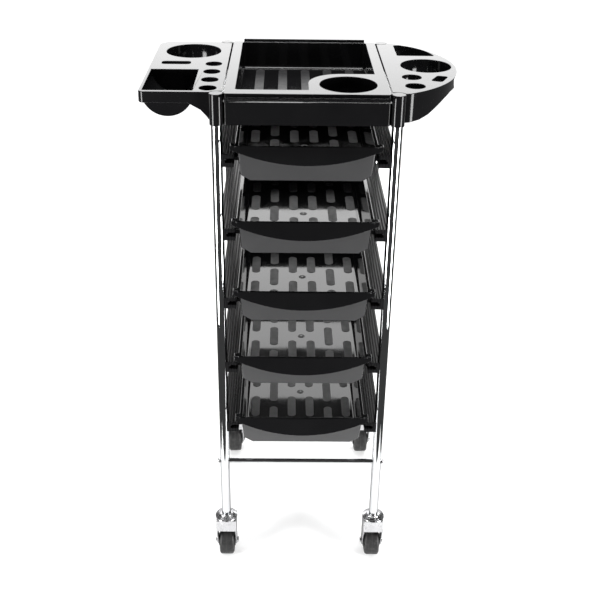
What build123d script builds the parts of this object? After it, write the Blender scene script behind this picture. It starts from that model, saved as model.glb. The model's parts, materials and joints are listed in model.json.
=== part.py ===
from build123d import *
import os

# Rolling salon trolley: four chrome posts on swivel casters, five drawers on side rails,
# a top tray with a cup holder and four post sockets, and two wing trays with holes for tools.
# Millimetres, +Z up, the open side of the drawers faces -Y.

# frame
POST_SPACING_X = 264.0
POST_SPACING_Y = 307.0
POST_R = 8.0
POST_WALL = 1.2
POST_BOTTOM = 98.0
POST_TOP = 864.5
BAR_Z = 214.0
BAR_R = 4.0
BAR_BORE_DEPTH = 18.0
BOLT_R = 2.0
BOLT_HEAD_R = 4.5
BOLT_HEAD_H = 4.0

# top level shared by the tray and both wings
TOP_Z = 870.0
DECK_T = 3.0
WALL_T = 2.5
SLEEVE_R = 10.0
SLEEVE_BOTTOM = 823.0
SLEEVE_GAP = 0.4
TRAY_HALF_X = 120.6
SEAM_GAP = 2.6
WING_X = TRAY_HALF_X + SEAM_GAP
EDGE_Y = 149.0
SKIRT_BOTTOM = 853.0
SKIRT_DEEP = 826.0
COLLAR_BOTTOM = 858.0
DEEP_COLLAR_BOTTOM = 836.0

# left wing
LEFT_EDGE = -245.0
LEFT_BACK_R = 22.0
LEFT_FRONT_R = 9.0
DRYER_CENTRE = (-183.5, 87.5)
DRYER_R = 45.0
SLOT_CENTRE = (-205.0, 12.0)
SLOT_SIZE = (46.0, 18.0)
SLOT_CORNER_R = 6.0
BIN_CENTRE = (-203.2, -84.5)
BIN_R = 36.7
BIN_LENGTH = 114.0
BIN_WALL = 2.0
TOOL_HOLE_R = 13.0
TOOL_HOLE_X = -145.2
TOOL_HOLE_YS = (6.5, -39.0, -84.0, -128.0)
LEFT_GUSSET = ((-141.0, 826.0), (-146.0, 833.0), (-155.0, 843.0), (-173.0, 853.0))

# right wing
RIGHT_EDGE = 237.0
RIGHT_ARC_X = 149.0
RING_CENTRE = (190.0, 6.0)
RING_R = 40.0
RIGHT_HOLE_R = 15.0
RIGHT_HOLE_CENTRES = ((160.3, -61.0), (160.3, -109.0))
WEDGE_CORNERS = ((151.0, 68.0), (212.0, 68.0), (160.0, 138.0), (151.0, 136.0))
WEDGE_ARC_MID = (191.5, 113.0)
WEDGE_CORNER_R = 3.0
LOZENGE_CORNER_R = 5.0
LOZENGE_CORNERS = ((187.0, -79.0), (201.0, -51.0), (217.0, -56.0), (203.0, -86.0))
RIGHT_GUSSET = ((142.0, 826.0), (165.0, 828.0), (179.0, 832.6), (192.0, 840.0), (206.0, 848.0), (218.0, 853.0))

# top tray
TRAY_FRONT = -156.0
TRAY_BACK = 157.0
TRAY_CORNER_R = 3.0
STEP_OUT = 1.2
STEP_Z = 864.0
WEB_OUTER_Y = 151.0
WELL_X = 105.0
WELL_FRONT = -134.0
WELL_BACK = 149.0
WELL_R = 5.0
TRAY_FLOOR_T = 3.0
LIP_TOP = 875.0
LIP_X = 103.0
LIP_DEPTH = 5.0
CUP_CENTRE = (61.5, -104.0)
CUP_R = 43.0
CUP_WALL = 2.0
WEB_LEFT = 2.0
WEB_BACK = -46.0
WEB_CORNER_R = 52.0
WING_SCREW_Z = 860.0
WING_SCREW_Y = 134.0
WING_SCREW_R = 1.8
WING_SCREW_HEAD_R = 3.6
WING_SCREW_HEAD_H = 2.4
WING_SCREW_REACH = 4.0
WING_BOSS_R = 5.0

# rails
LEVELS = 5
LEVEL_PITCH = 119.75
RAIL_TOP_Z = 779.5
RAIL_HEIGHT = 20.0
RAIL_OUTER_X = 133.0
RAIL_INNER_X = 107.0
RAIL_LENGTH = 320.0
RAIL_SLOT_X = 121.0
RAIL_SLOT_LOW = 6.5
RAIL_SLOT_HEIGHT = 7.0
RAIL_STOP = 2.5
GROOVE_W = 2.0
GROOVE_D = 1.2
GROOVE_XS = (110.5, 115.0, 119.5, 124.0, 128.5)
RAIL_SCREW_R = 1.5
RAIL_SCREW_HEAD_R = 3.0
RAIL_SCREW_HEAD_H = 2.2
RAIL_SCREW_END = 128.5

# drawers
DRAWER_RIM_ABOVE_RAIL = 17.5
DRAWER_DEPTH_Z = 59.0
DRAWER_TOP_X = 102.0
DRAWER_FLOOR_X = 97.5
CORNER_CUT = (15.0, 26.0, 10.0)
CUTTER_SIZE = 260.0
DRAWER_FRONT = -160.0
DRAWER_FRONT_TOP = -172.0
DRAWER_BACK = 141.0
DRAWER_WALL = 2.5
RIM_W = 3.0
RIM_H = 2.5
RUNNER_ROOT_X = 98.0
RUNNER_TIP_X = 117.0
RUNNER_GAP = 0.4
RUNNER_FRONT = -150.0
HOLLOW_R = 4.0
SHELL_R = 2.5
LIP_HALF_W = 112.0
LIP_END_H = 6.0
LIP_MID_H = 24.0
LIP_LEDGE = 3.0
LIP_FLARE = 15.0
LIP_T = 3.0
LIP_BOW = 5.0

# casters
TRAIL = 10.0
WHEEL_R = 26.0
TYRE_INNER_R = 19.0
TYRE_HALF_W = 13.0
TREAD_ROUND = 5.0
HUB_HALF_W = 15.0
HUB_BOSS_R = 11.5
HUB_RIM_R = 16.5
HUB_RIM_HALF_W = 12.0
HUB_WEB_HALF_W = 8.0
AXLE_R = 3.0
AXLE_GAP = 0.05
AXLE_HEAD_R = 5.0
AXLE_HEAD_T = 2.5
ARM_INNER_X = 15.5
ARM_T = 2.5
ARM_END_R = 8.0
CROWN_BOTTOM = 82.0
CROWN_TOP = 89.5
CROWN_R = 18.0
CROWN_HALF_Y = 15.0
APRON_BOTTOM = 66.0
PIN_R = 5.0
PIN_GAP = 0.05
RIVET_R = 8.0
RIVET_H = 3.5
AXIAL_GAP = 0.5
DISC_R = 19.5
DISC_RIM_H = 3.0
DISC_TOP_R = 13.0
STEM_TOP = 135.0

# origin at the middle of the underside of the whole part
FRONT_REACH = DRAWER_FRONT_TOP - LIP_LEDGE - LIP_FLARE
BACK_REACH = POST_SPACING_Y / 2 + TRAIL + WHEEL_R
OFFSET_X = -(LEFT_EDGE + RIGHT_EDGE) / 2
OFFSET_Y = -(FRONT_REACH + BACK_REACH) / 2

CORNERS = {
    "front_left": (-1, -1),
    "front_right": (1, -1),
    "rear_left": (-1, 1),
    "rear_right": (1, 1),
}


def block(x0, x1, y0, y1, z0, z1):
    return Pos((x0 + x1) / 2, (y0 + y1) / 2, (z0 + z1) / 2) * Box(abs(x1 - x0), abs(y1 - y0), abs(z1 - z0))


def rod_z(x, y, radius, z0, z1):
    return Pos(x, y, (z0 + z1) / 2) * Cylinder(radius, z1 - z0)


def rod_x(y, z, radius, x0, x1):
    return Pos((x0 + x1) / 2, y, z) * Rot(0, 90, 0) * Cylinder(radius, abs(x1 - x0))


def polygon(points):
    return Face(Wire(Polyline(*points, close=True)))


def prism_y(points, y0, y1):
    """Extrudes an (x, z) outline from y0 to y1."""
    return extrude(Pos(0, y1, 0) * (Plane.XZ * polygon(points)), y1 - y0, dir=(0, -1, 0))


def prism_x(points, x0, x1):
    """Extrudes a (y, z) outline from x0 to x1."""
    return extrude(Pos(x0, 0, 0) * (Plane.YZ * polygon(points)), x1 - x0, dir=(1, 0, 0))


def slab(face, z0, z1):
    return extrude(Pos(0, 0, z0) * face, z1 - z0, dir=(0, 0, 1))


def round_uprights(shape, radius):
    return fillet(shape.edges().filter_by(Axis.Z), radius)


def round_below(shape, radius):
    """Rounds every edge of a box or a hollow except those round its top."""
    mouth = shape.faces().sort_by(Axis.Z)[-1].edges()
    return fillet([edge for edge in shape.edges() if edge not in mouth], radius)


def mirrored(shape, sign):
    return shape if sign > 0 else mirror(shape, Plane.YZ)


def post_xy(signs):
    return signs[0] * POST_SPACING_X / 2, signs[1] * POST_SPACING_Y / 2


def save(name, shape):
    placed = Pos(OFFSET_X, OFFSET_Y, 0) * shape
    placed.label = name
    export_step(placed, f"parts/{name}.step")


def rail_top(level):
    return RAIL_TOP_Z - level * LEVEL_PITCH


def slot_middle(level):
    return rail_top(level) - RAIL_HEIGHT + RAIL_SLOT_LOW + RAIL_SLOT_HEIGHT / 2


def post(signs):
    x, y = post_xy(signs)
    tube = rod_z(x, y, POST_R, POST_BOTTOM, POST_TOP) - rod_z(x, y, POST_R - POST_WALL, POST_BOTTOM, POST_TOP)
    inner = x - signs[0] * POST_R
    tube -= rod_x(y, BAR_Z, BOLT_R, x - POST_R, x + POST_R)
    for level in range(LEVELS):
        tube -= rod_x(y, slot_middle(level), RAIL_SCREW_R, inner, x)
    return tube


def cross_bar(side_y):
    y = side_y * POST_SPACING_Y / 2
    half = POST_SPACING_X / 2
    bar = rod_x(y, BAR_Z, BAR_R, -half, half)
    for side_x in (-1, 1):
        end = side_x * (half - POST_R - BAR_BORE_DEPTH)
        bar -= rod_z(side_x * half, y, POST_R, BAR_Z - 2 * BAR_R, BAR_Z + 2 * BAR_R)
        bar -= rod_x(y, BAR_Z, BOLT_R, end, side_x * half)
    return bar


def bar_bolt(signs):
    x, y = post_xy(signs)
    seat = x + signs[0] * POST_R
    end = x - signs[0] * (POST_R + BAR_BORE_DEPTH)
    head = rod_x(y, BAR_Z, BOLT_HEAD_R, seat, seat + signs[0] * BOLT_HEAD_H)
    head = fillet(head.edges().filter_by(GeomType.CIRCLE).sort_by(Axis.X)[-1 if signs[0] > 0 else 0], BOLT_HEAD_H / 2)
    return head + rod_x(y, BAR_Z, BOLT_R, end, seat)


def sleeves():
    """Sockets that slip over the tops of the four posts, each with a web to the side of the tray."""
    shape = None
    for side_x, side_y in CORNERS.values():
        x, y = post_xy((side_x, side_y))
        web_y = side_y * WEB_OUTER_Y
        web = block(side_x * (TRAY_HALF_X - WALL_T), x, y - side_y * POST_R, web_y, SLEEVE_BOTTOM, TOP_Z)
        socket = rod_z(x, y, SLEEVE_R, SLEEVE_BOTTOM, TOP_Z) + web
        shape = socket if shape is None else shape + socket
    return shape


def sleeve_notches(side_x):
    """What a wing leaves free at its inner corners for the sockets and their webs."""
    reach = SLEEVE_R + SLEEVE_GAP
    shape = None
    for side_y in (-1, 1):
        x, y = post_xy((side_x, side_y))
        notch = Pos(x, y) * Circle(reach) + Pos(x - side_x * reach, y) * Rectangle(2 * reach, 2 * reach)
        shape = notch if shape is None else shape + notch
    return shape


def wing(outline, side_x, skirt_cutter, openings):
    """Deck plate with a skirt, collars under every opening and bosses that meet the tray."""
    outline = outline - sleeve_notches(side_x)
    ring = outline - offset(outline, -WALL_T)
    deck = slab(outline, TOP_Z - DECK_T, TOP_Z)
    skirt = slab(ring, SKIRT_DEEP, TOP_Z) - skirt_cutter
    inner_wall = side_x * (WING_X + WALL_T)
    body = deck + skirt
    for face, depth in openings:
        body += slab(offset(face, WALL_T), depth, TOP_Z)
    for face, depth in openings:
        body -= slab(face, depth, TOP_Z)
    for side_y in (-1, 1):
        y = side_y * WING_SCREW_Y
        body += rod_x(y, WING_SCREW_Z, WING_BOSS_R, side_x * TRAY_HALF_X, inner_wall)
        body -= rod_x(y, WING_SCREW_Z, WING_SCREW_R, side_x * TRAY_HALF_X, inner_wall)
    return body


def left_wing():
    corners = [(-WING_X, -EDGE_Y), (LEFT_EDGE, -EDGE_Y), (LEFT_EDGE, EDGE_Y), (-WING_X, EDGE_Y)]
    outline = Sketch() + polygon(corners)
    for corner_y, radius in ((EDGE_Y, LEFT_BACK_R), (-EDGE_Y, LEFT_FRONT_R)):
        corner = outline.vertices().sort_by_distance((LEFT_EDGE, corner_y, 0))[0]
        outline = fillet(corner, radius)
    outer_x = LEFT_EDGE - WALL_T
    low = [*LEFT_GUSSET, (outer_x, SKIRT_BOTTOM), (outer_x, SLEEVE_BOTTOM), (LEFT_GUSSET[0][0], SLEEVE_BOTTOM)]
    cutter = prism_y(low, -EDGE_Y - WALL_T, EDGE_Y + WALL_T)
    cutter += block(-WING_X - WALL_T, -WING_X, -EDGE_Y, EDGE_Y, SLEEVE_BOTTOM, SKIRT_BOTTOM)
    openings = [
        (Pos(*DRYER_CENTRE) * Circle(DRYER_R), DEEP_COLLAR_BOTTOM),
        (Pos(*SLOT_CENTRE) * RectangleRounded(*SLOT_SIZE, SLOT_CORNER_R), COLLAR_BOTTOM),
    ]
    openings += [(Pos(TOOL_HOLE_X, y) * Circle(TOOL_HOLE_R), COLLAR_BOTTOM) for y in TOOL_HOLE_YS]
    body = wing(outline, -1, cutter, openings)
    trough = Pos(*BIN_CENTRE, TOP_Z) * Rot(90, 0, 0) * Cylinder(BIN_R + BIN_WALL, BIN_LENGTH + 2 * BIN_WALL)
    trough -= block(LEFT_EDGE, 0, -2 * EDGE_Y, 2 * EDGE_Y, TOP_Z, TOP_Z + 2 * BIN_R)
    hollow = Pos(*BIN_CENTRE, TOP_Z) * Rot(90, 0, 0) * Cylinder(BIN_R, BIN_LENGTH)
    return body + trough - hollow


def right_wing():
    outline = Sketch() + Face(
        Wire(
            [
                Line((WING_X, EDGE_Y), (WING_X, -EDGE_Y)),
                Line((WING_X, -EDGE_Y), (RIGHT_ARC_X, -EDGE_Y)),
                ThreePointArc((RIGHT_ARC_X, -EDGE_Y), (RIGHT_EDGE, 0), (RIGHT_ARC_X, EDGE_Y)),
                Line((RIGHT_ARC_X, EDGE_Y), (WING_X, EDGE_Y)),
            ]
        )
    )
    low = [*RIGHT_GUSSET, (RIGHT_EDGE + WALL_T, SKIRT_BOTTOM), (RIGHT_EDGE + WALL_T, SLEEVE_BOTTOM)]
    cutter = prism_y([*low, (RIGHT_GUSSET[0][0], SLEEVE_BOTTOM)], -EDGE_Y - WALL_T, EDGE_Y + WALL_T)
    cutter += block(WING_X, WING_X + WALL_T, -EDGE_Y, EDGE_Y, SLEEVE_BOTTOM, SKIRT_BOTTOM)
    a, b, c, d = WEDGE_CORNERS
    wedge = Face(Wire([Line(a, b), ThreePointArc(b, WEDGE_ARC_MID, c), Line(c, d), Line(d, a)]))
    lozenge = Sketch() + polygon(LOZENGE_CORNERS)
    openings = [
        (Pos(*RING_CENTRE) * Circle(RING_R), DEEP_COLLAR_BOTTOM),
        (fillet((Sketch() + wedge).vertices(), WEDGE_CORNER_R), DEEP_COLLAR_BOTTOM),
        (fillet(lozenge.vertices(), LOZENGE_CORNER_R), COLLAR_BOTTOM),
    ]
    openings += [(Pos(*centre) * Circle(RIGHT_HOLE_R), COLLAR_BOTTOM) for centre in RIGHT_HOLE_CENTRES]
    return wing(outline, 1, cutter, openings)


def top_tray():
    bottom = SLEEVE_BOTTOM
    inner_x = TRAY_HALF_X - WALL_T
    upper = block(-TRAY_HALF_X, TRAY_HALF_X, TRAY_FRONT, TRAY_BACK, STEP_Z, TOP_Z)
    lower = block(-TRAY_HALF_X, TRAY_HALF_X, TRAY_FRONT - STEP_OUT, TRAY_BACK, bottom, STEP_Z)
    body = round_uprights(upper, TRAY_CORNER_R) + round_uprights(lower, TRAY_CORNER_R)
    body -= block(-inner_x, inner_x, TRAY_FRONT + WALL_T, TRAY_BACK - WALL_T, bottom, TOP_Z - DECK_T)
    well_outer = block(-WELL_X - WALL_T, WELL_X + WALL_T, WELL_FRONT - WALL_T, WELL_BACK + WALL_T, bottom, TOP_Z)
    well_inner = round_below(
        block(-WELL_X, WELL_X, WELL_FRONT, WELL_BACK, bottom + TRAY_FLOOR_T, LIP_TOP), WELL_R
    )
    web = Sketch() + polygon(
        [(WEB_LEFT, WELL_FRONT), (WELL_X, WELL_FRONT), (WELL_X, WEB_BACK), (WEB_LEFT, WEB_BACK)]
    )
    web = fillet(web.vertices().sort_by_distance((WEB_LEFT, WEB_BACK, 0))[0], WEB_CORNER_R)
    lip = block(-LIP_X, LIP_X, TRAY_BACK - LIP_DEPTH, TRAY_BACK, TOP_Z - DECK_T, LIP_TOP)
    body = body + well_outer - well_inner + lip + slab(web, TOP_Z - DECK_T, TOP_Z)
    body += rod_z(*CUP_CENTRE, CUP_R + CUP_WALL, bottom, TOP_Z)
    body -= rod_z(*CUP_CENTRE, CUP_R, bottom + TRAY_FLOOR_T, LIP_TOP)
    body += sleeves()
    for side_x, side_y in CORNERS.values():
        body -= rod_z(*post_xy((side_x, side_y)), POST_R, SLEEVE_BOTTOM, POST_TOP)
        body -= rod_x(side_y * WING_SCREW_Y, WING_SCREW_Z, WING_SCREW_R, side_x * inner_x, side_x * TRAY_HALF_X)
    return body


def wing_screw(signs):
    y = signs[1] * WING_SCREW_Y
    seat = signs[0] * (TRAY_HALF_X - WALL_T)
    head = rod_x(y, WING_SCREW_Z, WING_SCREW_HEAD_R, seat - signs[0] * WING_SCREW_HEAD_H, seat)
    return head + rod_x(y, WING_SCREW_Z, WING_SCREW_R, seat, signs[0] * (WING_X + WING_SCREW_REACH))


def rail(side_x, level):
    """Slotted runner channel with saddles on the front and rear posts."""
    z1 = rail_top(level)
    z0 = z1 - RAIL_HEIGHT
    half = RAIL_LENGTH / 2
    body = block(RAIL_INNER_X, RAIL_OUTER_X, -half, half, z0, z1)
    slot_low = z0 + RAIL_SLOT_LOW
    body -= block(RAIL_INNER_X, RAIL_SLOT_X, -half, half - RAIL_STOP, slot_low, slot_low + RAIL_SLOT_HEIGHT)
    for x in GROOVE_XS:
        body -= block(x - GROOVE_W / 2, x + GROOVE_W / 2, -half, half, z1 - GROOVE_D, z1)
    for side_y in (-1, 1):
        y = side_y * POST_SPACING_Y / 2
        body -= rod_z(POST_SPACING_X / 2, y, POST_R, z0, z1)
        body -= rod_x(y, slot_middle(level), RAIL_SCREW_R, RAIL_SLOT_X, RAIL_OUTER_X)
    return mirrored(body, side_x)


def rail_screws(side_x):
    shapes = []
    for level in range(LEVELS):
        z = slot_middle(level)
        for side_y in (-1, 1):
            y = side_y * POST_SPACING_Y / 2
            head = rod_x(y, z, RAIL_SCREW_HEAD_R, RAIL_SLOT_X - RAIL_SCREW_HEAD_H, RAIL_SLOT_X)
            screw = head + rod_x(y, z, RAIL_SCREW_R, RAIL_SLOT_X, RAIL_SCREW_END)
            shapes.append(mirrored(screw, side_x))
    return Compound(shapes)


def drawer_shell(z_top, inset):
    """Tapered box with a sloping front and its two lower front corners cut off; an inset one is the hollow."""
    z_low = z_top - DRAWER_DEPTH_Z
    section = [(DRAWER_TOP_X - inset, z_top), (DRAWER_FLOOR_X - inset, z_low + inset)]
    section += [(-x, z) for x, z in reversed(section)]
    body = prism_y(section, DRAWER_FRONT_TOP, DRAWER_BACK - inset)
    cut_x, cut_y, cut_z = CORNER_CUT
    slope = Vector(0, -DRAWER_DEPTH_Z, DRAWER_FRONT_TOP - DRAWER_FRONT)
    facets = [(slope.normalized(), Vector(0, DRAWER_FRONT, z_low))]
    for side_x in (-1, 1):
        corner = Vector(side_x * DRAWER_FLOOR_X, DRAWER_FRONT, z_low + cut_z)
        facets.append((Vector(side_x / cut_x, -1 / cut_y, -1 / cut_z).normalized(), corner))
    for normal, point in facets:
        facet = Plane(origin=point - normal * inset, z_dir=normal)
        body -= facet * Pos(0, 0, CUTTER_SIZE / 2) * Box(CUTTER_SIZE, CUTTER_SIZE, CUTTER_SIZE)
    return body


def grip(z_top):
    """Crescent lip that flares out from the top of the front wall, slightly bowed in plan."""
    edge = DRAWER_FRONT_TOP - LIP_LEDGE
    profile = [
        (DRAWER_FRONT_TOP + LIP_BOW + DRAWER_WALL, z_top),
        (edge, z_top),
        (edge - LIP_FLARE, z_top - LIP_MID_H),
        (edge - LIP_FLARE + LIP_T, z_top - LIP_MID_H),
        (edge + LIP_T, z_top - LIP_T),
        (DRAWER_FRONT_TOP + LIP_BOW + DRAWER_WALL, z_top - LIP_T),
    ]
    axis_y = edge + (LIP_HALF_W**2 + LIP_BOW**2) / (2 * LIP_BOW)
    flare = revolve(Plane.YZ * polygon(profile), Axis((0, axis_y, 0), (0, 0, 1)))
    left, right = (-LIP_HALF_W, z_top - LIP_END_H), (LIP_HALF_W, z_top - LIP_END_H)
    crescent = Face(
        Wire(
            [
                Line((-LIP_HALF_W, z_top), (LIP_HALF_W, z_top)),
                Line((LIP_HALF_W, z_top), right),
                ThreePointArc(right, (0, z_top - LIP_MID_H), left),
                Line(left, (-LIP_HALF_W, z_top)),
            ]
        )
    )
    reach = 2 * (LIP_LEDGE + LIP_FLARE + LIP_BOW)
    return flare & extrude(Pos(0, DRAWER_FRONT, 0) * (Plane.XZ * crescent), reach, dir=(0, -1, 0))


def drawer(level):
    """Open tray with a rim, runners in the rails and a crescent grip along the front."""
    z_top = rail_top(level) + DRAWER_RIM_ABOVE_RAIL
    body = round_below(drawer_shell(z_top, 0), SHELL_R)
    rim_x = DRAWER_TOP_X + RIM_W
    body += block(-rim_x, rim_x, DRAWER_FRONT_TOP, DRAWER_BACK + RIM_W, z_top - RIM_H, z_top)
    z_mid = slot_middle(level)
    half_h = RAIL_SLOT_HEIGHT / 2 - RUNNER_GAP
    for side_x in (-1, 1):
        tip, root = side_x * RUNNER_TIP_X, side_x * RUNNER_ROOT_X
        body += block(root, tip, RUNNER_FRONT, DRAWER_BACK, z_mid - half_h, z_mid + half_h)
    return body + grip(z_top) - round_below(drawer_shell(z_top, DRAWER_WALL), HOLLOW_R)


def caster_head(signs):
    """Stem pressed into the post, raised cover disc, swivel pin and its riveted end."""
    x, y = post_xy(signs)
    disc_low = CROWN_TOP + AXIAL_GAP
    rivet_top = CROWN_BOTTOM - AXIAL_GAP
    outline = [
        (0, rivet_top - RIVET_H),
        (RIVET_R, rivet_top - RIVET_H),
        (RIVET_R, rivet_top),
        (PIN_R, rivet_top),
        (PIN_R, disc_low),
        (DISC_R, disc_low),
        (DISC_R, disc_low + DISC_RIM_H),
        (DISC_TOP_R, POST_BOTTOM),
        (POST_R - POST_WALL, POST_BOTTOM),
        (POST_R - POST_WALL, STEM_TOP),
        (0, STEM_TOP),
    ]
    return Pos(x, y, 0) * revolve(Plane.XZ * polygon(outline), Axis.Z)


def fork(signs):
    x, y = post_xy(signs)
    outer = ARM_INNER_X + ARM_T
    body = rod_z(0, 0, CROWN_R, CROWN_BOTTOM, CROWN_TOP)
    body += block(-outer, outer, -CROWN_HALF_Y, CROWN_HALF_Y, CROWN_BOTTOM, CROWN_TOP)
    body += block(-outer, outer, -CROWN_HALF_Y, -CROWN_HALF_Y + ARM_T, APRON_BOTTOM, CROWN_TOP)
    arm_outline = [
        (-CROWN_HALF_Y, CROWN_TOP),
        (-CROWN_HALF_Y, APRON_BOTTOM),
        (TRAIL - ARM_END_R, WHEEL_R),
        (TRAIL + ARM_END_R, WHEEL_R),
        (CROWN_HALF_Y + ARM_T, APRON_BOTTOM),
        (CROWN_HALF_Y, CROWN_TOP),
    ]
    for side in (-1, 1):
        ends = sorted((side * ARM_INNER_X, side * outer))
        body += prism_x(arm_outline, *ends) + rod_x(TRAIL, WHEEL_R, ARM_END_R, *ends)
    body -= rod_z(0, 0, PIN_R + PIN_GAP, CROWN_BOTTOM, CROWN_TOP)
    body -= rod_x(TRAIL, WHEEL_R, AXLE_R, -outer, outer)
    return Pos(x, y, 0) * body


def axle(signs):
    x, y = post_xy(signs)
    outer = ARM_INNER_X + ARM_T
    pin = rod_x(TRAIL, WHEEL_R, AXLE_R, -outer, outer)
    for side in (-1, 1):
        pin += rod_x(TRAIL, WHEEL_R, AXLE_HEAD_R, side * outer, side * (outer + AXLE_HEAD_T))
    return Pos(x, y, 0) * pin


def wheel_hub(signs):
    x, y = post_xy(signs)
    bore = AXLE_R + AXLE_GAP
    half = [
        (bore, HUB_HALF_W),
        (HUB_BOSS_R, HUB_HALF_W),
        (HUB_BOSS_R, HUB_WEB_HALF_W),
        (HUB_RIM_R, HUB_WEB_HALF_W),
        (HUB_RIM_R, HUB_RIM_HALF_W),
        (TYRE_INNER_R, HUB_RIM_HALF_W),
    ]
    outline = half + [(radius, -width) for radius, width in reversed(half)]
    hub = revolve(Plane.XZ * polygon(outline), Axis.Z)
    return Pos(x, y + TRAIL, WHEEL_R) * Rot(0, 90, 0) * hub


def tyre(signs):
    x, y = post_xy(signs)
    ring = Cylinder(WHEEL_R, 2 * TYRE_HALF_W)
    ring = fillet(ring.edges().filter_by(GeomType.CIRCLE), TREAD_ROUND)
    ring -= Cylinder(TYRE_INNER_R, 2 * TYRE_HALF_W)
    return Pos(x, y + TRAIL, WHEEL_R) * Rot(0, 90, 0) * ring


os.makedirs("parts", exist_ok=True)
for corner, signs in CORNERS.items():
    save(f"post_{corner}", post(signs))
    save(f"caster_head_{corner}", caster_head(signs))
    save(f"caster_fork_{corner}", fork(signs))
    save(f"caster_axle_{corner}", axle(signs))
    save(f"wheel_hub_{corner}", wheel_hub(signs))
    save(f"wheel_tyre_{corner}", tyre(signs))
save("cross_bar_front", cross_bar(-1))
save("cross_bar_rear", cross_bar(1))
save("cross_bar_bolts", Compound([bar_bolt(signs) for signs in CORNERS.values()]))
save("top_tray", top_tray())
save("wing_screws", Compound([wing_screw(signs) for signs in CORNERS.values()]))
save("left_wing_tray", left_wing())
save("right_wing_tray", right_wing())
for level in range(LEVELS):
    save(f"rail_left_{level + 1}", rail(-1, level))
    save(f"rail_right_{level + 1}", rail(1, level))
    save(f"drawer_{level + 1}", drawer(level))
save("rail_screws_left", rail_screws(-1))
save("rail_screws_right", rail_screws(1))
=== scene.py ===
import json
import math

import bmesh
import bpy
from mathutils import Matrix, Vector


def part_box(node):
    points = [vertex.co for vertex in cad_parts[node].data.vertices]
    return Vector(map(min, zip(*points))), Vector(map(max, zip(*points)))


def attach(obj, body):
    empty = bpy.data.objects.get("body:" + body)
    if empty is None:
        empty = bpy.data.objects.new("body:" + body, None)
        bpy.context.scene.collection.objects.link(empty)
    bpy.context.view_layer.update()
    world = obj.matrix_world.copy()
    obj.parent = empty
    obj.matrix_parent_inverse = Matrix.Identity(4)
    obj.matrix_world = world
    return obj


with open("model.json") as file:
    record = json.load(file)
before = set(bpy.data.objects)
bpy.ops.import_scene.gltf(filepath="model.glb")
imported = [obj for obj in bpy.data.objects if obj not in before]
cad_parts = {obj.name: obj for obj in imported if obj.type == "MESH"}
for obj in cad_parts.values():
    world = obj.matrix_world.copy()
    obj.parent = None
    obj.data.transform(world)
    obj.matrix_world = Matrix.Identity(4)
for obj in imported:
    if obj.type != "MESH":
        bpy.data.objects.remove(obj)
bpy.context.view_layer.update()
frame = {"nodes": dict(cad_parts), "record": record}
NODES = frame["nodes"]
SCENE = bpy.context.scene

CORNERS = ("front_left", "front_right", "rear_left", "rear_right")
LEVELS = (1, 2, 3, 4, 5)

# lengths are in metres, except the camera's lens and sensor, in millimetres

# camera
CAMERA_PLACE = (-0.0282, -1.50295, 1.2690)
CAMERA_LENS = 57.87
CAMERA_SENSOR = 36.0
CAMERA_DOWN = 0.4734
CAMERA_YAW = -0.0106
CAMERA_ROLL = 0.0123
CAMERA_SHIFT = (0.0119, -0.0415)
CAMERA_CLIP = (0.05, 50.0)

# room: what the object reflects goes from dark in front to brighter behind
WORLD_WHITE = 1.2
WORLD_FRONT = (0.06, 0.06, 0.06)
WORLD_BACK = (0.25, 0.25, 0.25)
WORLD_DARK_UNTIL = 0.5
WORLD_BRIGHT_FROM = 0.9

# floor
FLOOR_X = (-0.45, 0.45)
FLOOR_Y = (-0.44, 1.85)
FLOOR_WHITE = 0.8
FLOOR_ROUGHNESS = 0.7
FLOOR_GLOW = 0.25

# lights
BACKDROP_PLACE = (0.0, 1.9, 1.3)
BACKDROP_AIM = (0.0, 0.0, 0.9)
BACKDROP_SIZE = (3.4, 2.4)
BACKDROP_RADIANCE = 3.1
OVERHEAD_PLACE = (0.0, 0.0, 2.4)
OVERHEAD_AIM = (0.0, 0.0, 0.0)
OVERHEAD_SIZE = (1.5, 0.4)
OVERHEAD_RADIANCE = 20.0
STRIP_PLACE = (0.83, -0.645, 0.5)
STRIP_AIM = (0.0, -0.1, 0.5)
STRIP_SIZE = (0.3, 1.0)
STRIP_RADIANCE = 17.0

# the front walls of the drawers, which face forwards and a little down, are rougher with a satin
# texture and paler in colour
SATIN_ROUGHNESS = 0.34
FRONT_WALL_COLOUR = (0.043, 0.043, 0.044)
FACES_FORWARDS = (-0.85, -0.95)
FACES_DOWN = (-0.10, -0.16)

# ribs along the rails; a rib's line is a share of the pitch
RIB_START_X = 0.1105
RIB_PITCH = 0.0045
RIB_LINE = 0.10
RIB_ROUGHNESS = 0.16
BETWEEN_RIBS_ROUGHNESS = 0.5

# plated metal reflects less near its outline
EDGE_TINT = (0.15, 0.15, 0.15, 1.0)

# the middle between the posts, and the middle of each tyre's tread to either side of it
MIDDLE_X = 0.004
WHEEL_X = 0.132
# width of the painted highlight, a pale line round the middle of each tyre's tread
TREAD_HIGHLIGHT_WIDTH = 0.0004

# rounded edges: their widths, and the angles below which faces are one and above which edges round
TRAY_EDGE = 0.0009
DRAWER_EDGE = 0.0010
RAIL_EDGE = 0.0004
CASTER_FORK_EDGE = 0.0006
CASTER_HEAD_EDGE = 0.0005
SAME_POINT = 0.00001
ONE_FACE_DEGREES = 0.4
EDGE_DEGREES = 32.0

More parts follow.
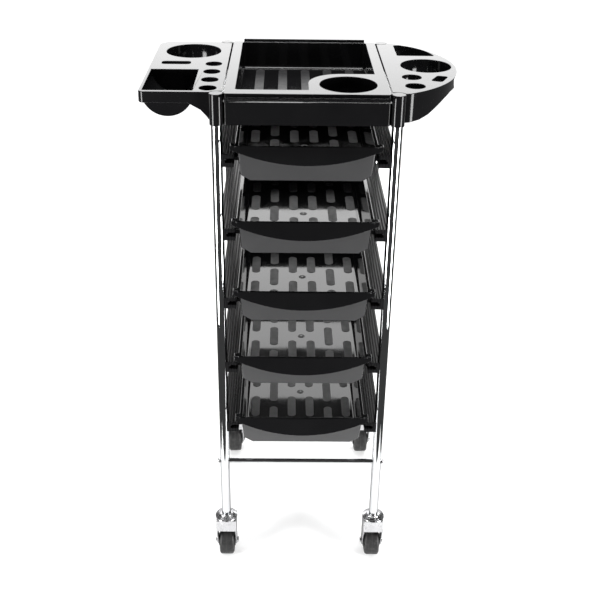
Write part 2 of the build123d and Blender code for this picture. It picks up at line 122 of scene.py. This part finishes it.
# matte pads moulded into the floors: places from the middle of a floor, ends as (front, back)
PAD_W = 0.0145
PAD_H = 0.0005
PAD_WALL = 0.4
PAD_SLOPE = 0.8
DRAWER_FLOOR_BELOW_RIM = 0.0565
DRAWER_FLOOR_FORWARD = 0.0105
DRAWER_PAD_XS = (0.0162, 0.0487, 0.081)
LONG_PADS = (
    (-0.142, -0.1265), (-0.1105, -0.0475), (-0.0315, 0.0315), (0.0475, 0.1105), (0.1265, 0.142)
)
SPLIT_PADS = ((-0.142, -0.0945), (-0.0785, -0.0155), (0.0155, 0.0785), (0.0945, 0.142))
GATE_RING_R = 0.006
GATE_PIP_R = 0.0022
TRAY_FLOOR_Z = 0.826
TRAY_PAD_XS = (-0.0746, -0.0364, 0.0015, 0.039, 0.077)
TRAY_PAD_FRONTS = (-0.118, -0.118, -0.118, -0.05, -0.05)
TRAY_PAD_BACK = 0.136

# rolled collar at the foot of each post, and rolled edge of the cover disc below it
COLLAR_Z = 0.0975
COLLAR_R = 0.0115
COLLAR_TUBE_R = 0.0016
DISC_EDGE_BELOW = 0.0055
DISC_EDGE_R = 0.0186
DISC_EDGE_TUBE_R = 0.00112


# ---------------------------------------------------------------- camera, floor and light


def make_camera():
    data = bpy.data.cameras.new("camera")
    data.lens = CAMERA_LENS
    data.sensor_width = CAMERA_SENSOR
    data.shift_x, data.shift_y = CAMERA_SHIFT
    data.clip_start, data.clip_end = CAMERA_CLIP
    camera = bpy.data.objects.new("camera", data)
    turn = Matrix.Rotation(CAMERA_YAW, 4, "Z")
    tilt = Matrix.Rotation(math.pi / 2 - CAMERA_DOWN, 4, "X")
    roll = Matrix.Rotation(CAMERA_ROLL, 4, "Z")
    camera.matrix_world = Matrix.Translation(CAMERA_PLACE) @ turn @ tilt @ roll
    SCENE.collection.objects.link(camera)
    SCENE.camera = camera


def make_world():
    """White to the camera; to everything else dark in front and overhead, and brighter behind."""
    world = bpy.data.worlds.new("studio")
    SCENE.world = world
    world.use_nodes = True
    tree = world.node_tree
    tree.nodes.clear()
    white = tree.nodes.new("ShaderNodeBackground")
    white.inputs["Color"].default_value = (1.0, 1.0, 1.0, 1.0)
    white.inputs["Strength"].default_value = WORLD_WHITE
    place = tree.nodes.new("ShaderNodeTexCoord")
    split = tree.nodes.new("ShaderNodeSeparateXYZ")
    tree.links.new(place.outputs["Generated"], split.inputs[0])
    backwards = tree.nodes.new("ShaderNodeMapRange")
    backwards.inputs["From Min"].default_value = -1.0
    tree.links.new(split.outputs["Y"], backwards.inputs["Value"])
    ramp = tree.nodes.new("ShaderNodeValToRGB")
    ramp.color_ramp.elements[0].position = WORLD_DARK_UNTIL
    ramp.color_ramp.elements[0].color = (*WORLD_FRONT, 1.0)
    ramp.color_ramp.elements[1].position = WORLD_BRIGHT_FROM
    ramp.color_ramp.elements[1].color = (*WORLD_BACK, 1.0)
    tree.links.new(backwards.outputs[0], ramp.inputs[0])
    room = tree.nodes.new("ShaderNodeBackground")
    tree.links.new(ramp.outputs["Color"], room.inputs["Color"])
    path = tree.nodes.new("ShaderNodeLightPath")
    chosen = tree.nodes.new("ShaderNodeMixShader")
    tree.links.new(path.outputs["Is Camera Ray"], chosen.inputs[0])
    tree.links.new(room.outputs[0], chosen.inputs[1])
    tree.links.new(white.outputs[0], chosen.inputs[2])
    output = tree.nodes.new("ShaderNodeOutputWorld")
    tree.links.new(chosen.outputs[0], output.inputs["Surface"])


def make_floor():
    """A pale sheet with a faint glow, which keeps the shadows on it light."""
    mesh = bpy.data.meshes.new("studio_floor")
    corners = [(x, y, 0.0) for y in FLOOR_Y for x in FLOOR_X]
    mesh.from_pydata(corners, [], [(0, 1, 3, 2)])
    floor = bpy.data.objects.new("studio_floor", mesh)
    SCENE.collection.objects.link(floor)
    material = bpy.data.materials.new("studio_floor")
    material.use_nodes = True
    shader = material.node_tree.nodes["Principled BSDF"]
    shader.inputs["Base Color"].default_value = (FLOOR_WHITE, FLOOR_WHITE, FLOOR_WHITE, 1.0)
    shader.inputs["Roughness"].default_value = FLOOR_ROUGHNESS
    shader.inputs["Emission Color"].default_value = (1.0, 1.0, 1.0, 1.0)
    shader.inputs["Emission Strength"].default_value = FLOOR_GLOW
    mesh.materials.append(material)


def panel_light(name, place, aim, size, radiance):
    """A soft box: a rectangle that shines towards aim and isn't seen by the camera itself."""
    data = bpy.data.lights.new(name, "AREA")
    data.shape = "RECTANGLE"
    data.size, data.size_y = size
    data.energy = radiance * math.pi * size[0] * size[1]
    light = bpy.data.objects.new(name, data)
    direction = Vector(aim) - Vector(place)
    light.location = place
    light.rotation_mode = "QUATERNION"
    light.rotation_quaternion = direction.to_track_quat("-Z", "Y")
    light.visible_camera = False
    SCENE.collection.objects.link(light)


def make_lights():
    """A wide panel behind, a long one overhead, and an upright one at each side in front."""
    panel_light("backdrop_panel", BACKDROP_PLACE, BACKDROP_AIM, BACKDROP_SIZE, BACKDROP_RADIANCE)
    panel_light("overhead_panel", OVERHEAD_PLACE, OVERHEAD_AIM, OVERHEAD_SIZE, OVERHEAD_RADIANCE)
    x, y, z = STRIP_PLACE
    panel_light("left_panel", (-x, y, z), STRIP_AIM, STRIP_SIZE, STRIP_RADIANCE)
    panel_light("right_panel", (x, y, z), STRIP_AIM, STRIP_SIZE, STRIP_RADIANCE)


# ---------------------------------------------------------------- materials


class Nodes:
    """A material's nodes, with short calls for the few kinds used here."""

    def __init__(self, name, **constants):
        self.name = name
        self.material = bpy.data.materials.new(name)
        self.material.use_nodes = True
        self.tree = self.material.node_tree
        self.shader = self.tree.nodes["Principled BSDF"]
        self.place = self.node("ShaderNodeTexCoord").outputs["Object"]
        for socket, value in constants.items():
            self.shader.inputs[socket.replace("_", " ")].default_value = value

    def node(self, kind):
        return self.tree.nodes.new(kind)

    def link(self, a, b):
        self.tree.links.new(a, b)

    def split(self, vector):
        node = self.node("ShaderNodeSeparateXYZ")
        self.link(vector, node.inputs[0])
        return node.outputs

    def noise(self, scale, detail=2.0, roughness=0.5, stretch=(1.0, 1.0, 1.0)):
        mapping = self.node("ShaderNodeMapping")
        mapping.inputs["Scale"].default_value = stretch
        node = self.node("ShaderNodeTexNoise")
        node.inputs["Scale"].default_value = scale
        node.inputs["Detail"].default_value = detail
        node.inputs["Roughness"].default_value = roughness
        self.link(self.place, mapping.inputs["Vector"])
        self.link(mapping.outputs[0], node.inputs["Vector"])
        return node.outputs["Fac"]

    def band(self, value, low, high, start=0.0, end=1.0, change="SMOOTHSTEP"):
        """start until the value passes low, end from high on, and a gradual change between."""
        node = self.node("ShaderNodeMapRange")
        node.interpolation_type = change
        node.inputs["From Min"].default_value = low
        node.inputs["From Max"].default_value = high
        node.inputs["To Min"].default_value = start
        node.inputs["To Max"].default_value = end
        self.link(value, node.inputs["Value"])
        return node.outputs[0]

    def math(self, operation, a, b=0.0):
        """a is a socket; b is a socket or a number."""
        node = self.node("ShaderNodeMath")
        node.operation = operation
        self.link(a, node.inputs[0])
        if isinstance(b, float):
            node.inputs[1].default_value = b
        else:
            self.link(b, node.inputs[1])
        return node.outputs[0]

    def distance(self, value, middle):
        return self.math("ABSOLUTE", self.math("SUBTRACT", value, middle))

    def colour(self, factor, dark, light):
        node = self.node("ShaderNodeValToRGB")
        node.color_ramp.elements[0].color = (*dark, 1.0)
        node.color_ramp.elements[1].color = (*light, 1.0)
        self.link(factor, node.inputs[0])
        self.link(node.outputs["Color"], self.shader.inputs["Base Color"])

    def roughness(self, value):
        self.link(value, self.shader.inputs["Roughness"])

    def bump(self, value, distance, strength=1.0, before=None):
        node = self.node("ShaderNodeBump")
        node.inputs["Distance"].default_value = distance
        node.inputs["Strength"].default_value = strength
        self.link(value, node.inputs["Height"])
        if before is not None:
            self.link(before, node.inputs["Normal"])
        self.link(node.outputs[0], self.shader.inputs["Normal"])
        return node.outputs[0]


def gloss_plastic(name, ior, smooth, worn, warp):
    """Moulded gloss plastic: faint flow marks, hairline scratches and a slightly wavy surface."""
    n = Nodes(name, IOR=ior)
    n.colour(n.noise(14.0, 3.0), (0.004, 0.004, 0.0045), (0.009, 0.009, 0.0095))
    scratches = n.band(n.noise(60.0, 4.0, 0.6, (1.0, 14.0, 5.0)), 0.62, 0.78, 0.0, worn)
    cloudy = n.band(n.noise(35.0, 4.0), 0.3, 0.7, smooth, smooth + 0.05)
    n.roughness(n.math("ADD", cloudy, scratches))
    wave = n.bump(n.noise(9.0, 1.0), warp)
    n.bump(n.noise(900.0, 2.0), 0.00001, 0.6, wave)
    return n


def drawer_plastic(name, ior, smooth, worn, warp):
    """Gloss plastic whose front wall is rougher, with a fine satin texture, and paler in colour."""
    n = gloss_plastic(name, ior, smooth, worn, warp)
    facing = n.split(n.node("ShaderNodeNewGeometry").outputs["Normal"])
    forwards = n.band(facing["Y"], *FACES_FORWARDS, change="LINEAR")
    down = n.band(facing["Z"], *FACES_DOWN, change="LINEAR")
    satin = n.math("MULTIPLY", forwards, down)
    glossy = n.shader.inputs["Roughness"].links[0].from_socket
    n.roughness(n.math("ADD", n.math("MULTIPLY", satin, SATIN_ROUGHNESS), glossy))
    # a paler colour on the faces that face forwards and a little down
    paler = n.node("ShaderNodeMix")
    paler.data_type = "RGBA"
    paler.inputs["B"].default_value = (*FRONT_WALL_COLOUR, 1.0)
    n.link(satin, paler.inputs["Factor"])
    n.link(n.shader.inputs["Base Color"].links[0].from_socket, paler.inputs["A"])
    n.link(paler.outputs["Result"], n.shader.inputs["Base Color"])
    return n


def matte_plastic(name, shade, rough, grain_scale, grain_depth):
    """Fine spark-eroded mould texture."""
    n = Nodes(name, IOR=1.5)
    n.colour(n.noise(220.0, 4.0), tuple(0.75 * c for c in shade), shade)
    n.roughness(n.band(n.noise(90.0, 4.0), 0.3, 0.7, rough - 0.06, rough + 0.06))
    n.bump(n.noise(grain_scale, 3.0, 0.7), grain_depth)
    return n


def ribbed_plastic(name):
    """Rail plastic: dull between its ribs, with a polished line along the top of each rib."""
    n = Nodes(name, IOR=1.2)
    n.colour(n.noise(220.0, 4.0), (0.006, 0.006, 0.006), (0.011, 0.011, 0.012))
    off_middle = n.distance(n.split(n.place)["X"], MIDDLE_X)
    pitches = n.math("DIVIDE", n.math("SUBTRACT", off_middle, RIB_START_X), RIB_PITCH)
    from_rib = n.distance(n.math("FRACT", pitches), 0.5)
    n.roughness(n.band(from_rib, RIB_LINE, 2 * RIB_LINE, RIB_ROUGHNESS, BETWEEN_RIBS_ROUGHNESS))
    n.bump(n.noise(1100.0, 3.0, 0.7), 0.000006)
    return n


def rubber(name):
    """Tyre rubber with a fine matte grain, paler scuffs and a painted highlight: a pale line round
    the middle of the tread.
    """
    n = Nodes(name, IOR=1.45)
    off_middle = n.distance(n.split(n.place)["X"], MIDDLE_X)
    off_tread = n.distance(off_middle, WHEEL_X)
    # painted highlight: a pale line round the middle of the tread, where the rounded tread catches
    # the light
    line = n.band(off_tread, TREAD_HIGHLIGHT_WIDTH, 2 * TREAD_HIGHLIGHT_WIDTH, 0.5, 0.0)
    scuffs = n.band(n.noise(160.0, 5.0, 0.65), 0.45, 0.8)
    n.colour(n.math("ADD", scuffs, line), (0.010, 0.010, 0.010), (0.045, 0.044, 0.043))
    n.roughness(n.band(n.noise(120.0, 4.0), 0.3, 0.7, 0.42, 0.62))
    n.bump(n.noise(1800.0, 3.0, 0.7), 0.00006)
    return n


def plated_metal(name, dark, light, rough, streak, grain):
    """Plated steel: faint polishing lines along the streak and a cloudy gloss."""
    n = Nodes(name, Metallic=1.0, Specular_Tint=EDGE_TINT)
    n.colour(n.noise(25.0, 4.0), dark, light)
    lines = n.band(n.noise(400.0, 3.0, 0.6, streak), 0.45, 0.75, 0.0, rough)
    cloudy = n.band(n.noise(40.0, 3.0), 0.3, 0.7, 0.4 * rough, rough)
    n.roughness(n.math("ADD", cloudy, lines))
    n.bump(n.noise(700.0, 3.0, 0.6, streak), grain)
    return n


def make_materials():
    """One for each of the record's slots, and pad_black for the pads."""
    made = (
        gloss_plastic("gloss_black", ior=1.37, smooth=0.07, worn=0.10, warp=0.00010),
        drawer_plastic("drawer_black", ior=1.5, smooth=0.05, worn=0.06, warp=0.00030),
        matte_plastic("pad_black", (0.03, 0.03, 0.031), 0.5, 1500.0, 0.00008),
        matte_plastic("black_nylon", (0.03, 0.03, 0.03), 0.42, 1300.0, 0.00005),
        ribbed_plastic("rail_black"),
        rubber("wheel_rubber"),
        plated_metal(
            "chrome", (0.60, 0.61, 0.62), (0.67, 0.68, 0.69),
            rough=0.035, streak=(1.0, 1.0, 0.05), grain=0.000001,
        ),
        plated_metal(
            "zinc_plated", (0.46, 0.46, 0.47), (0.64, 0.64, 0.65),
            rough=0.30, streak=(1.0, 1.0, 1.0), grain=0.000006,
        ),
        plated_metal(
            "steel_fasteners", (0.5, 0.5, 0.51), (0.68, 0.68, 0.69),
            rough=0.16, streak=(0.1, 1.0, 1.0), grain=0.000008,
        ),
    )
    return {n.name: n.material for n in made}


def paint_cad_nodes():
    for part in frame["record"]["subparts"]:
        slots = NODES[part["node"]].data.materials
        slots.clear()
        slots.append(MATERIALS[part["material_slot"]])


# ---------------------------------------------------------------- rounded edges on the CAD nodes


def smooth_group():
    group = bpy.data.node_groups.new("shade_smooth", "GeometryNodeTree")
    group.interface.new_socket("Geometry", in_out="INPUT", socket_type="NodeSocketGeometry")
    group.interface.new_socket("Geometry", in_out="OUTPUT", socket_type="NodeSocketGeometry")
    start = group.nodes.new("NodeGroupInput")
    smooth = group.nodes.new("GeometryNodeSetShadeSmooth")
    end = group.nodes.new("NodeGroupOutput")
    group.links.new(start.outputs[0], smooth.inputs["Geometry"])
    group.links.new(smooth.outputs[0], end.inputs[0])
    return group


def round_edges(obj, width, group):
    """Joins the triangles into flat faces, rounds the edges between them and keeps the faces flat."""
    weld = obj.modifiers.new("weld", "WELD")
    weld.merge_threshold = SAME_POINT
    flat = obj.modifiers.new("flat_faces", "DECIMATE")
    flat.decimate_type = "DISSOLVE"
    flat.angle_limit = math.radians(ONE_FACE_DEGREES)
    bevel = obj.modifiers.new("round_edges", "BEVEL")
    bevel.width = width
    bevel.segments = 3
    bevel.limit_method = "ANGLE"
    bevel.angle_limit = math.radians(EDGE_DEGREES)
    bevel.use_clamp_overlap = False
    bevel.miter_outer = "MITER_ARC"
    smooth = obj.modifiers.new("smooth", "NODES")
    smooth.node_group = group
    normals = obj.modifiers.new("face_normals", "WEIGHTED_NORMAL")
    normals.weight = 100
    normals.keep_sharp = False


def round_cad_nodes():
    widths = {name: TRAY_EDGE for name in ("top_tray", "left_wing_tray", "right_wing_tray")}
    for level in LEVELS:
        widths[f"drawer_{level}"] = DRAWER_EDGE
        widths[f"rail_left_{level}"] = RAIL_EDGE
        widths[f"rail_right_{level}"] = RAIL_EDGE
    for corner in CORNERS:
        widths[f"caster_fork_{corner}"] = CASTER_FORK_EDGE
        widths[f"caster_head_{corner}"] = CASTER_HEAD_EDGE
    group = smooth_group()
    for name, width in widths.items():
        round_edges(NODES[name], width, group)


# ---------------------------------------------------------------- pads, gate marks and collars


def post_middle():
    """The point on the floor in the middle of the four posts."""
    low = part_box("post_front_left")
    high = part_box("post_rear_right")
    middle = (low[0] + high[1]) / 2
    return Vector((middle.x, middle.y, 0.0))


def circle(radius, steps=32):
    turns = [math.tau * i / steps for i in range(steps)]
    return [(radius * math.cos(turn), radius * math.sin(turn)) for turn in turns]


def capsule(width, y0, y1, steps=10):
    """Outline of an oblong with round ends, lying along Y."""
    radius = width / 2
    points = []
    for centre, start in ((y1 - radius, 0.0), (y0 + radius, math.pi)):
        for i in range(steps + 1):
            angle = start + math.pi * i / steps
            points.append((radius * math.cos(angle), centre + radius * math.sin(angle)))
    return points


def add_plate(mesh, outline, place):
    """A thin plate, let into the floor at place, with a low wall and then a sloping edge."""
    centre = Vector((sum(p[0] for p in outline), sum(p[1] for p in outline))) / len(outline)
    rings = []
    for lift, inset in ((-PAD_H, 0.0), (PAD_WALL * PAD_H, 0.0), (PAD_H, PAD_SLOPE * PAD_H)):
        ring = []
        for x, y in outline:
            inward = (centre - Vector((x, y))).normalized() * inset
            corner = (place[0] + x + inward.x, place[1] + y + inward.y, place[2] + lift)
            ring.append(mesh.verts.new(corner))
        rings.append(ring)
    count = len(outline)
    for low, high in zip(rings, rings[1:]):
        for i in range(count):
            mesh.faces.new((low[i], low[(i + 1) % count], high[(i + 1) % count], high[i]))
    mesh.faces.new(rings[-1])
    mesh.faces.new(list(reversed(rings[0])))


def add_ring(mesh, place, radius, tube, around=40, across=10):
    """A rolled ring, lying flat round place."""
    loops = []
    for i in range(around):
        turn = math.tau * i / around
        loop = []
        for j in range(across):
            roll = math.tau * j / across
            reach = radius + tube * math.cos(roll)
            offset = Vector((reach * math.cos(turn), reach * math.sin(turn), tube * math.sin(roll)))
            loop.append(mesh.verts.new(place + offset))
        loops.append(loop)
    for i in range(around):
        a, b = loops[i], loops[(i + 1) % around]
        for j in range(across):
            face = mesh.faces.new((a[j], b[j], b[(j + 1) % across], a[(j + 1) % across]))
            face.smooth = True


def finish_piece(mesh, name, material, body):
    data = bpy.data.meshes.new(name)
    mesh.to_mesh(data)
    mesh.free()
    data.materials.append(MATERIALS[material])
    piece = bpy.data.objects.new(name, data)
    SCENE.collection.objects.link(piece)
    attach(piece, body)


def tray_pads():
    mesh = bmesh.new()
    for x, front in zip(TRAY_PAD_XS, TRAY_PAD_FRONTS):
        half = (TRAY_PAD_BACK - front) / 2
        place = post_middle() + Vector((x, (TRAY_PAD_BACK + front) / 2, TRAY_FLOOR_Z))
        add_plate(mesh, capsule(PAD_W, -half, half), place)
    finish_piece(mesh, "tray_floor_pads", "pad_black", "frame")


def drawer_pads(level):
    """Six rows of pads on a drawer's floor, and the moulding gate's ring and pip in the middle."""
    rim_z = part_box(f"drawer_{level}")[1].z
    floor = post_middle() + Vector((0.0, -DRAWER_FLOOR_FORWARD, rim_z - DRAWER_FLOOR_BELOW_RIM))
    mesh = bmesh.new()
    for side in (-1, 1):
        for x, spans in zip(DRAWER_PAD_XS, (SPLIT_PADS, LONG_PADS, SPLIT_PADS)):
            for front, back in spans:
                half = (back - front) / 2
                place = floor + Vector((side * x, (front + back) / 2, 0.0))
                add_plate(mesh, capsule(PAD_W, -half, half), place)
    add_plate(mesh, circle(GATE_RING_R), floor)
    finish_piece(mesh, f"drawer_{level}_pads", "pad_black", f"drawer_{level}")
    pip = bmesh.new()
    add_plate(pip, circle(GATE_PIP_R), floor + Vector((0.0, 0.0, PAD_H)))
    finish_piece(pip, f"drawer_{level}_gate_pip", "drawer_black", f"drawer_{level}")


def caster_collar(corner):
    low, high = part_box(f"post_{corner}")
    place = Vector(((low.x + high.x) / 2, (low.y + high.y) / 2, COLLAR_Z))
    mesh = bmesh.new()
    add_ring(mesh, place, COLLAR_R, COLLAR_TUBE_R)
    add_ring(mesh, place - Vector((0.0, 0.0, DISC_EDGE_BELOW)), DISC_EDGE_R, DISC_EDGE_TUBE_R)
    finish_piece(mesh, f"caster_collar_{corner}", "zinc_plated", "frame")


make_camera()
make_world()
make_floor()
make_lights()
MATERIALS = make_materials()
paint_cad_nodes()
round_cad_nodes()
tray_pads()
for post_corner in CORNERS:
    caster_collar(post_corner)
for drawer_level in LEVELS:
    drawer_pads(drawer_level)

SCENE.view_settings.view_transform = "Standard"
